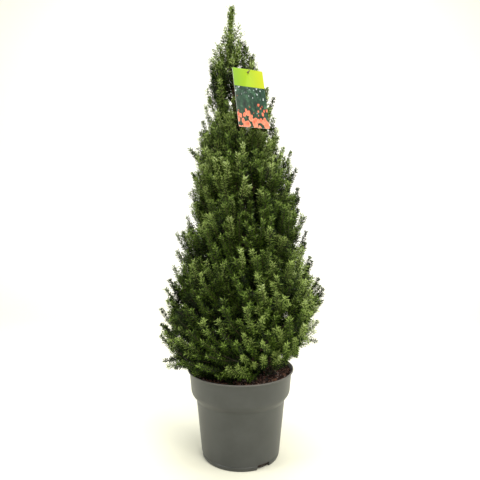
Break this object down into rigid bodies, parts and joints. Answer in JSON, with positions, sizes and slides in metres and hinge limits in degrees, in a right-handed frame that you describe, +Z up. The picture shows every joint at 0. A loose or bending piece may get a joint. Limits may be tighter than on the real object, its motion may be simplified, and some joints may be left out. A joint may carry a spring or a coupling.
{
  "type": "potted alberta spruce",
  "caption": "Narrow conical dwarf spruce with dense upswept needle shoots, in a round moulded nursery pot of bark soil; it stands on the pot's flat underside.",
  "frame": {"origin": "centre of the pot's flat underside, on the surface that it stands on", "axes": "+Z up along the pot's axis and the trunk, -Y towards the front, where the tag hangs, +X to the right seen from the front"},
  "size_m": [0.4011, 0.4004, 1.16],
  "materials": {
    "pot_plastic": "satin",
    "soil_bark": "matte",
    "bark": "matte",
    "needles": "matte",
    "tag_print": "gloss"
  },
  "bodies": {
    "root": {"pot": "pot_plastic", "soil": "soil_bark", "trunk": "bark", "bough_skirt_1": "bark", "bough_skirt_2": "bark", "bough_skirt_3": "bark", "bough_skirt_4": "bark", "bough_skirt_5": "bark", "bough_skirt_6": "bark", "bough_low_1": "bark", "bough_low_2": "bark", "bough_low_3": "bark", "bough_low_4": "bark", "bough_low_5": "bark", "bough_low_6": "bark", "bough_middle_1": "bark", "bough_middle_2": "bark", "bough_middle_3": "bark", "bough_middle_4": "bark", "bough_middle_5": "bark", "bough_high_1": "bark", "bough_high_2": "bark", "bough_high_3": "bark", "bough_high_4": "bark", "bough_high_5": "bark", "mass_skirt_1": "needles", "mass_skirt_2": "needles", "mass_skirt_3": "needles", "mass_skirt_4": "needles", "mass_skirt_5": "needles", "mass_skirt_6": "needles", "mass_low_1": "needles", "mass_low_2": "needles", "mass_low_3": "needles", "mass_low_4": "needles", "mass_low_5": "needles", "mass_low_6": "needles", "mass_middle_1": "needles", "mass_middle_2": "needles", "mass_middle_3": "needles", "mass_middle_4": "needles", "mass_middle_5": "needles", "mass_high_1": "needles", "mass_high_2": "needles", "mass_high_3": "needles", "mass_high_4": "needles", "mass_high_5": "needles", "mass_upper_1": "needles", "mass_upper_2": "needles", "mass_upper_3": "needles", "mass_upper_4": "needles", "mass_neck_1": "needles", "mass_neck_2": "needles", "mass_neck_3": "needles", "mass_leader": "needles", "tag_twig": "bark", "tag": "tag_print"}
  },
  "joints": []
}
